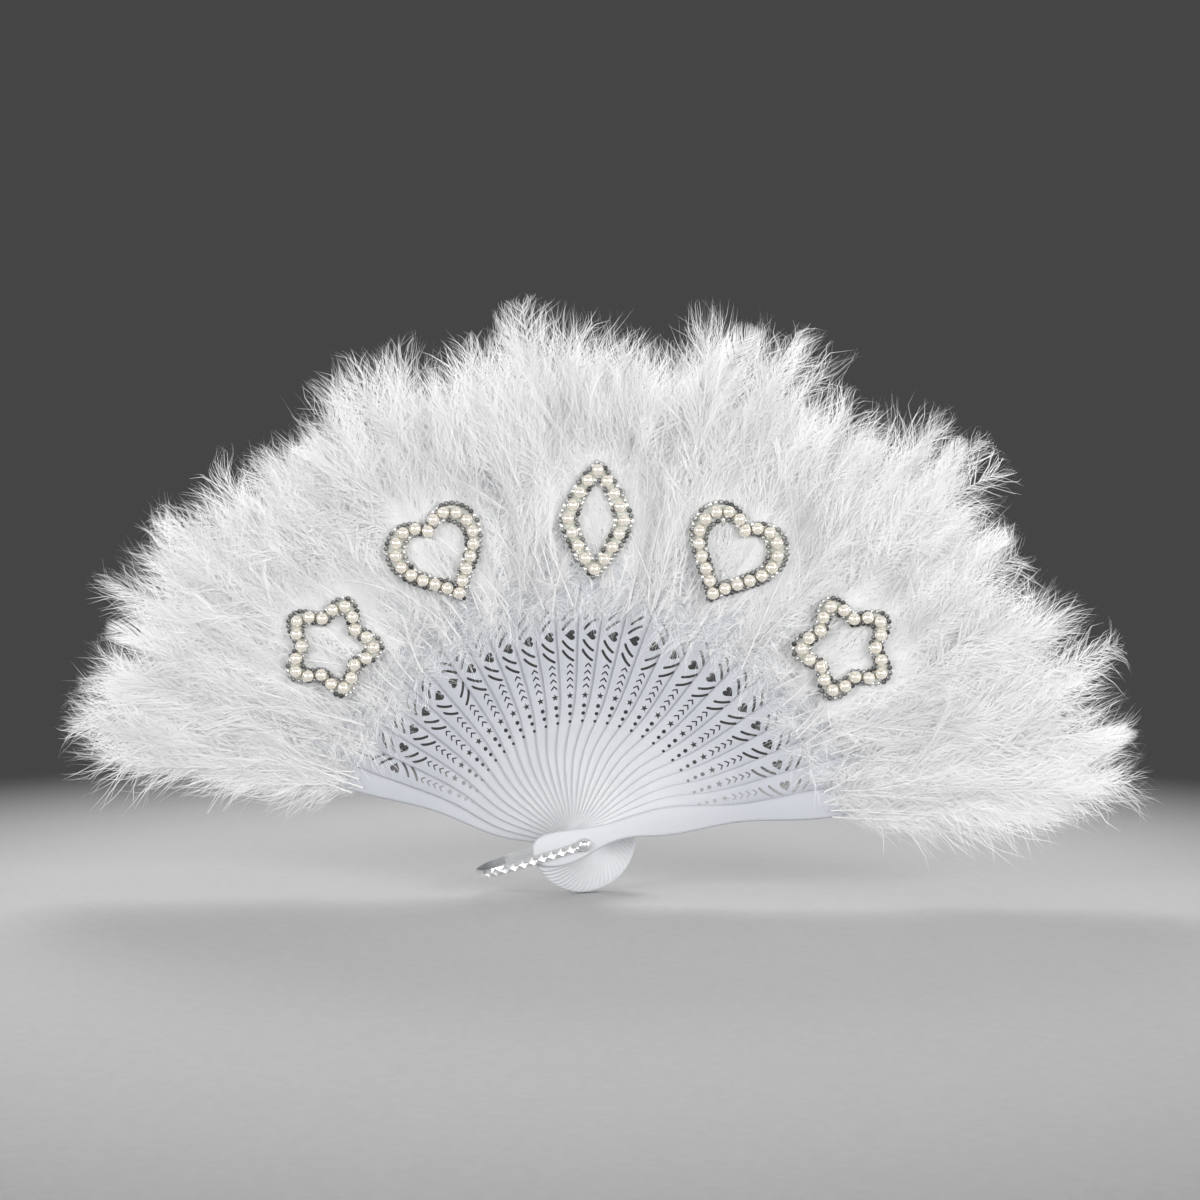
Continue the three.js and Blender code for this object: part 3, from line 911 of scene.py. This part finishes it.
def settle_plume(mesh, index, outward):
    """Keeps a plume within its depth and reach, and presses it flat under the patches.

    outward is the side of a guard that the plume keeps to, or zero for both sides of a stave.
    """
    rim_start, rim_room = (plume_reach[index // 2] - 12) * MM, 16 * MM
    low_start, low_room = 12 * MM, 11 * MM
    border, press_full, press_gone = 6.5, 1.02, 1.75
    felt_clear, pressed_share = 0.2, 0.1
    points = mesh_points(mesh)
    middle = layer_middle(index) * MM
    rise = points[:, 1] - middle
    limit = np.where(rise * outward < 0, guard_thick / 2, plume_depth) * MM
    points[:, 1] = middle + limit * np.tanh(rise / limit)
    reach = np.hypot(points[:, 0], points[:, 2])
    held = held_back(reach, rim_start, rim_room)
    points[:, 0] *= held / reach
    points[:, 2] *= held / reach
    points[:, 2] = -held_back(-points[:, 2], low_start, low_room)
    for name, (_, angle, half_wide, half_high) in patch_places.items():
        a = math.radians(angle)
        radial = points[:, 0] * math.cos(a) + points[:, 2] * math.sin(a) - patch_radius * MM
        across = points[:, 0] * math.sin(a) - points[:, 2] * math.cos(a)
        out = np.hypot(across / ((half_wide + border) * MM), radial / ((half_high + border) * MM))
        press = 1 - eased(out, press_full, press_gone)
        back = (felt_back(name) + felt_clear) * MM
        flattened = np.maximum(points[:, 1], back + pressed_share * (points[:, 1] - back))
        points[:, 1] += press * (flattened - points[:, 1])
    set_points(mesh, points)


barb_white = barb_finish()
quill_horn = shaft_finish()
feathers_on_quills = feather_tree()
barb_spacing = 0.24
first_plume_seed = 4100
shut_room = (stave_thick / 2 + layer_gap) / plume_depth
outer_room = 0.7
for index in range(0, stave_count, 2):
    node = f"plume_of_{stave_name(index)}"
    store = plume_quills(index, np.random.default_rng(first_plume_seed + index))
    halves = [("feathers", store, 0, shut_room)]
    if index in guard_staves:
        outward = -1 if index == 0 else 1
        halves = [
            ("outer_feathers", one_side(store, outward), outward, outer_room),
            ("inner_feathers", one_side(store, -outward), 0, shut_room),
        ]
    for half, quills, outward, keep in halves:
        plume = grown(quill_object(f"quills_{index:02d}", quills), feathers_on_quills, {
            "Barb Spacing": barb_spacing * MM,
            "Tuft Size": 70.0,
            "Tuft Sway": 16 * MM,
            "Wisp Size": 260.0,
            "Wisp Sway": 6 * MM,
            "Seed": index * 10,
            "Barb Finish": barb_white,
            "Shaft Finish": quill_horn,
        })
        settle_plume(plume, index, outward)
        replaced = [node] if half != "inner_feathers" else []
        piece = finished(f"{node}_{half}", plume, None, stave_name(index), "feather", *replaced)
        layer_middle(index) * MM
        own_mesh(piece)

# Patches. Felt cut to a flower, a heart or a lozenge and sewn on the plumage, with pearl
# beads along its middle and a chain of small cut stones along each edge.
like_parts = {"flower": 5, "heart": 2, "lozenge": 4}


def signed_power(value, power):
    return math.copysign(abs(value) ** power, value)


def motif_point(motif, t):
    """A point of a motif's closed line in a square from -1 to 1."""
    if motif == "flower":
        petal = 0.18
        radius = (1 - petal * math.cos(like_parts["flower"] * t)) / (1 + petal)
        return radius * math.sin(t), -radius * math.cos(t)
    if motif == "heart":
        up = 13 * math.cos(t) - 3.5 * math.cos(2 * t)
        up = up - 1.2 * math.cos(3 * t) - 0.8 * math.cos(4 * t)
        return signed_power(math.sin(t), 2.2), up / 14.6 + 0.1
    return signed_power(math.cos(t), 1.6), signed_power(math.sin(t), 1.6)


def motif_line(motif, half_wide, half_high, grow, count):
    """Evenly spaced points of a motif's line, moved outwards by grow, and the line's length."""
    turns = np.linspace(0, 2 * math.pi, 721)
    dense = np.array([motif_point(motif, t) for t in turns]) * (half_wide + grow, half_high + grow)
    run = np.concatenate([[0], np.cumsum(np.hypot(*np.diff(dense, axis=0).T))])
    at = np.linspace(0, run[-1], count, endpoint=False)
    return np.stack([np.interp(at, run, dense[:, 0]), np.interp(at, run, dense[:, 1])], 1), run[-1]


def bead_tree():
    """One bead at each even step of a closed line, spun at random, with a random sparkle."""
    board, size = start_tree("beads_on_line", {
        "Line": "Geometry", "Bead": "Object", "Bead Count": "Int", "Seed": "Int",
        "Bead Finish": "Material",
    })
    line = board.node("GeometryNodeMeshToCurve", None, {"Mesh": size["Line"]})
    steps = board.node(
        "GeometryNodeResampleCurve", {"mode": "COUNT"}, {"Curve": line, "Count": size["Bead Count"]}
    )
    bead = board.node("GeometryNodeObjectInfo", None, {"Object": size["Bead"]}, "Geometry")
    spin = random_number(board, 0.0, 2 * math.pi, size["Seed"])
    turned = board.node("ShaderNodeCombineXYZ", None, {"Z": spin})
    beads = board.node(
        "GeometryNodeInstanceOnPoints", None,
        {"Points": steps, "Instance": bead, "Rotation": turned},
    )
    sparkle = random_number(board, 0.0, 1.0, size["Seed"] + 7)
    marked = board.node(
        "GeometryNodeStoreNamedAttribute", {"data_type": "FLOAT", "domain": "INSTANCE"},
        {"Geometry": beads, "Name": "sparkle", "Value": sparkle},
    )
    loose = board.node("GeometryNodeRealizeInstances", None, {"Geometry": marked})
    return end_tree(board, "Beads", dressed(board, loose, size["Bead Finish"]))


def line_object(name, points, front):
    """A closed line on a patch, this far in front of the back of its felt."""
    count = len(points)
    edges = [(i, (i + 1) % count) for i in range(count)]
    return in_scene(name, new_mesh(name, [(x, y + patch_radius, front) for x, y in points], [], edges))


def turned_mesh(name, profile, sides, smooth):
    """A solid turned about Z from a profile of (radius, height) that starts and ends on the axis."""
    points, faces = [(0, 0, profile[0][1])], []
    for radius, height in profile[1:-1]:
        for i in range(sides):
            turn = 2 * math.pi * i / sides
            points.append((radius * math.cos(turn), radius * math.sin(turn), height))
    points.append((0, 0, profile[-1][1]))
    rings = len(profile) - 2
    top = len(points) - 1
    for i in range(sides):
        j = (i + 1) % sides
        faces.append((0, 1 + j, 1 + i))
        for ring in range(rings - 1):
            a = 1 + ring * sides
            faces.append((a + i, a + j, a + sides + j, a + sides + i))
        a = 1 + (rings - 1) * sides
        faces.append((a + i, a + j, top))
    mesh = new_mesh(name, points, faces)
    mesh.polygons.foreach_set("use_smooth", [smooth] * len(faces))
    return mesh


def felt_finish():
    """Pale grey-green felt, cloudy and fuzzy."""
    finish = Finish("patch_felt")
    fuzz = finish.noise(900, 4)
    clouds = finish.noise(120, 3)
    finish.set({
        "Base Color": finish.ramp(clouds, (0.3, 0.50, 0.52, 0.48), (0.7, 0.66, 0.68, 0.63)),
        "Roughness": 0.95,
        "Sheen Weight": 0.3,
        "Normal": finish.bump(fuzz, 0.6, 0.0003),
    })
    return finish.material


def pearl_finish():
    """Ivory pearl: a soft body colour under a thin clear skin, faintly uneven."""
    finish = Finish("pearl_ivory")
    mottled = finish.noise(420, 3)
    finish.set({
        "Base Color": finish.ramp(mottled, (0.3, 0.82, 0.76, 0.66), (0.7, 0.90, 0.855, 0.77)),
        "Metallic": 0.45,
        "Roughness": 0.17 + 0.1 * mottled,
        "IOR": 1.65,
        "Coat Weight": 1.0,
        "Coat Roughness": 0.04,
        "Coat IOR": 1.7,
        "Subsurface Weight": 0.15,
        "Subsurface Radius": (1.0, 0.8, 0.6),
        "Subsurface Scale": 0.001,
        "Normal": finish.bump(mottled, 0.05, 0.0002),
    })
    return finish.material


def stone_finish():
    """Cut glass over foil: hard facets, some bright and some dark."""
    finish = Finish("cut_stone")
    sparkle = finish.node("ShaderNodeAttribute", {"attribute_name": "sparkle"}, None, "Fac")
    finish.set({
        "Base Color": finish.ramp(
            sparkle, (0.0, 0.06, 0.06, 0.065), (0.5, 0.34, 0.34, 0.35), (1.0, 0.98, 0.98, 0.98)
        ),
        "Metallic": 0.9,
        "Roughness": 0.1 + 0.12 * finish.noise(700, 2),
        "Coat Weight": 1.0,
    })
    return finish.material


pearl_radius, pearl_half_high, pearl_pitch = 2.85, 2.6, 6.0
stone_radius, stone_pitch, stone_aside = 1.2, 2.5, 3.95
pearl_front, stone_front = 2.55, patch_felt + 0.45
pearl_profile = [
    (pearl_radius * math.cos(t), pearl_half_high * math.sin(t))
    for t in np.linspace(-math.pi / 2, math.pi / 2, 13)
]
stone_profile = [
    (0, -0.5), (0.9 * stone_radius, -0.5), (stone_radius, 0.15), (0.55 * stone_radius, 0.6), (0, 0.66),
]
pearl_bead = bpy.data.objects.new("pearl_bead", turned_mesh("pearl_bead", pearl_profile, 20, True))
stone_bead = bpy.data.objects.new("stone_bead", turned_mesh("stone_bead", stone_profile, 8, False))
beads_on_line = bead_tree()
patch_felt_grey = felt_finish()
pearl_ivory = pearl_finish()
cut_stone = stone_finish()
band_half = 5.2
shut_share = 0.9
patch_carriers = {
    "flower_patch_right": 4, "heart_patch_right": 8, "lozenge_patch": 12,
    "heart_patch_left": 18, "flower_patch_left": 22,
}
for number, (name, (motif, angle, half_wide, half_high)) in enumerate(patch_places.items()):
    carrier = stave_name(patch_carriers[name])
    carrier_front = layer_middle(patch_carriers[name]) - stave_thick / 2
    back = felt_back(name)
    outer, _ = motif_line(motif, half_wide, half_high, band_half, 160)
    inner, _ = motif_line(motif, half_wide, half_high, -band_half, 120)
    lifted = [[(x, y + patch_radius) for x, y in loop] for loop in (outer, inner)]
    felt = flat_plate(f"{name}_felt", lifted, patch_felt, round_over=0.5, edge_thick=0.4)
    place_mesh(felt, math.radians(angle), back - patch_felt / 2)
    pieces = [finished(f"{name}_felt", felt, patch_felt_grey, carrier, "pearl_patch", name)]
    middle, length = motif_line(motif, half_wide, half_high, 0, 240)
    pearls_per_part = round(length / pearl_pitch / like_parts[motif])
    pearls = grown(line_object("pearl_line", middle, pearl_front), beads_on_line, {
        "Bead": pearl_bead, "Bead Count": pearls_per_part * like_parts[motif], "Seed": 10 + number,
        "Bead Finish": pearl_ivory,
    })
    place_mesh(pearls, math.radians(angle), back)
    pieces.append(finished(f"{name}_pearls", pearls, None, carrier, "pearl_patch"))
    for edge, aside in (("outer", stone_aside), ("inner", -stone_aside)):
        line, length = motif_line(motif, half_wide, half_high, aside, 240)
        stones = grown(line_object("stone_line", line, stone_front), beads_on_line, {
            "Bead": stone_bead, "Bead Count": int(length / stone_pitch), "Seed": 30 + number,
            "Bead Finish": cut_stone,
        })
        place_mesh(stones, math.radians(angle), back)
        pieces.append(finished(f"{name}_{edge}_stones", stones, None, carrier, "pearl_patch"))
    for piece in pieces:
        carrier_front * MM
        shut_share * layer_gap / (carrier_front - back + pearl_rise)
        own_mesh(piece)


# Pivot pin. A bright metal pin through every stave, with a domed head at each end that
# keeps the eyes of the wrist loop on.
def bright_metal(name, dull):
    """Plated metal with fine rubbed scratches."""
    finish = Finish(name)
    rubbed = finish.noise(900, 3, (1, 1, 6))
    finish.set({
        "Base Color": finish.ramp(rubbed, (0.3, 0.80, 0.81, 0.82), (0.7, 0.95, 0.95, 0.96)),
        "Metallic": 1.0,
        "Roughness": dull + 0.1 * rubbed,
        "Normal": finish.bump(rubbed, 0.04, 0.0001),
    })
    return finish.material


pin_radius, head_radius, head_height, head_rim = 1.5, 2.4, 1.2, 0.25
loop_thick = 1.3
seat = stack_depth / 2 + loop_thick + 2 * layer_gap
dome = [
    (head_radius * math.cos(t), seat + head_rim + (head_height - head_rim) * math.sin(t))
    for t in np.linspace(0, math.pi / 2, 8)
]
front_half = [(pin_radius, seat), (head_radius, seat)] + dome
back_half = [(r, -h) for r, h in reversed(front_half)]
pin = turned_mesh("pivot_pin_turned", back_half + front_half, 40, True)
place_mesh(pin, math.radians(90), 0)
pin_metal = bright_metal("pin_metal", 0.2)
finished("pivot_pin_turned", pin, pin_metal, "front_guard", "pin_metal", "pivot_pin")

# Wrist loop. A band of plated metal bent into a U round the stack, pressed with a row of
# little pyramids on its outside, with a round eye on the pin at each end.
loop_length, loop_angle, loop_band, eye_radius = 53, 197, 3.8, 3.0
loop_inside = stack_depth / 2 + layer_gap
loop_outside = loop_inside + loop_thick
bend_start = loop_length - loop_outside
arm_start = 1.5
band_cells = 27


def loop_path(share):
    """Place and outward direction on the middle of the band's outside, as (along, front)."""
    arm = bend_start - arm_start
    bend = math.pi * loop_outside
    run = share * (2 * arm + bend)
    if run < arm:
        return (arm_start + run, loop_outside), (0, 1)
    if run > arm + bend:
        return (bend_start - (run - arm - bend), -loop_outside), (0, -1)
    turn = math.pi / 2 - (run - arm) / loop_outside
    out = (math.cos(turn), math.sin(turn))
    return (bend_start + loop_outside * out[0], loop_outside * out[1]), out


def loop_mesh():
    points, faces = [], []
    half = loop_band / 2
    groove, peak, edge, underside, sunk = -0.45, 0.45, -0.2, -0.85, 0.2
    for step in range(2 * band_cells + 1):
        (along, front), (out_along, out_front) = loop_path(step / (2 * band_cells))
        middle = groove if step % 2 == 0 else peak
        corners = ((-half, edge), (0, middle), (half, edge), (half, underside), (-half, underside))
        for across, rise in corners:
            points.append((across, along + out_along * (rise - sunk), front + out_front * (rise - sunk)))
    for step in range(2 * band_cells):
        a, b = 5 * step, 5 * step + 5
        if step % 2 == 0:
            faces += [(a, a + 1, b + 1), (a, b + 1, b), (a + 1, a + 2, b + 1), (a + 2, b + 2, b + 1)]
        else:
            faces += [(a, a + 1, b), (a + 1, b + 1, b), (a + 1, a + 2, b + 2), (a + 1, b + 2, b + 1)]
        for i in (2, 3, 4):
            j = (i + 1) % 5
            faces.append((a + i, a + j, b + j, b + i))
    end = 10 * band_cells
    faces += [(0, 4, 3, 2, 1), (end, end + 1, end + 2, end + 3, end + 4)]
    sides = 28
    # Radius of the eye's section and its distance from the inside of the loop.
    eye_section = (
        (pin_hole, 0.1), (pin_hole, 1.1), (pin_hole + 0.3, 1.2),
        (eye_radius - 0.3, 1.2), (eye_radius, 0.95), (eye_radius, 0.1),
    )
    for facing in (1, -1):
        start = len(points)
        for i in range(sides):
            c, s = math.cos(2 * math.pi * i / sides), math.sin(2 * math.pi * i / sides)
            for radius, rise in eye_section:
                points.append((radius * c, radius * s, facing * (loop_inside + rise)))
        for i in range(sides):
            a, b = start + 6 * i, start + 6 * ((i + 1) % sides)
            for k in range(6):
                m = (k + 1) % 6
                ring = (a + k, b + k, b + m, a + m)
                faces.append(ring if facing > 0 else ring[::-1])
    return new_mesh("wrist_loop_band", points, faces)


band = loop_mesh()
place_mesh(band, math.radians(loop_angle), 0)
loop_metal = bright_metal("loop_metal", 0.24)
finished("wrist_loop_band", band, loop_metal, "wrist_loop", "loop_metal", "wrist_loop")

# Floor and light. A pale paper sweep that rises far off on every side, painted darker away from the
# fan as a painted pool of light. Round soft lamps stand to the right, to the left, in front and behind.
floor_level = float(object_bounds()[0][2]) - 0.0005
flat_radius, rise_radius, wall_top = 1.8, 1.6, 3.6
sweep_profile = [(0.6, 0), (1.2, 0), (flat_radius, 0)]
sweep_profile += [
    (flat_radius + rise_radius * math.sin(t), rise_radius - rise_radius * math.cos(t))
    for t in np.linspace(0.1, math.pi / 2, 14)
]
sweep_profile.append((flat_radius + rise_radius, wall_top))
sweep_points, sweep_faces, sweep_sides = [(0, 0, floor_level)], [], 64
for radius, height in sweep_profile:
    for i in range(sweep_sides):
        turn = 2 * math.pi * i / sweep_sides
        sweep_points.append((radius * math.cos(turn), radius * math.sin(turn), floor_level + height))
for i in range(sweep_sides):
    j = (i + 1) % sweep_sides
    sweep_faces.append((0, 1 + i, 1 + j))
    for ring in range(len(sweep_profile) - 1):
        a = 1 + ring * sweep_sides
        sweep_faces.append((a + i, a + sweep_sides + i, a + sweep_sides + j, a + j))
floor_mesh = new_mesh("floor", sweep_points, sweep_faces)
floor_mesh.polygons.foreach_set("use_smooth", [True] * len(sweep_faces))
floor = in_scene("floor", floor_mesh)
floor_paper = Finish("floor_paper")
floor_paper.set({
    "Base Color": floor_paper.ramp(
        floor_paper.noise(300, 3), (0.3, 0.50, 0.50, 0.50), (0.7, 0.53, 0.53, 0.53)
    ),
    "Roughness": 0.9,
})
# Painted shade: away from the fan, camera, glossy and transmission rays see a dark emission instead of
# the lit floor.
painted_falloff_mask = floor_paper.node(
    "ShaderNodeMapRange", {"interpolation_type": "SMOOTHSTEP"},
    {"Value": floor_paper.from_origin((1, 1, 0)), "From Min": 0.24, "From Max": 0.7},
)
seen = sum(
    floor_paper.node("ShaderNodeLightPath", output=f"Is {kind} Ray")
    for kind in ("Camera", "Glossy", "Transmission")
)
seen = seen.maths("MINIMUM", seen, 1.0)
painted_dark_glow = floor_paper.node("ShaderNodeEmission", None, {"Color": (0.06, 0.06, 0.06, 1), "Strength": 1.0})
floor_paper.blend(painted_falloff_mask * seen, painted_dark_glow)
floor_mesh.materials.append(floor_paper.material)

world = bpy.data.worlds.new("studio")
bpy.context.scene.world = world
world.use_nodes = True
background = world.node_tree.nodes["Background"]
background.inputs["Color"].default_value = (1, 1, 1, 1)
background.inputs["Strength"].default_value = 0.55


def area_light(name, place, size, power):
    """A round lamp that shines at the middle of the fan."""
    data = bpy.data.lights.new(name, "AREA")
    data.shape = "DISK"
    data.size = size
    data.energy = power
    lamp = in_scene(name, data)
    lamp.location = place
    aim = Vector((0, 0, 0.1)) - Vector(place)
    lamp.rotation_euler = aim.to_track_quat("-Z", "Y").to_euler()


area_light("right", (1.2, -1.0, 0.4), 0.8, 18.5)
area_light("left", (-1.2, -1.0, 0.4), 0.8, 14)
area_light("front", (0.0, -1.9, 0.25), 1.4, 8)
area_light("back", (-0.2, 1.1, 1.0), 0.9, 12)
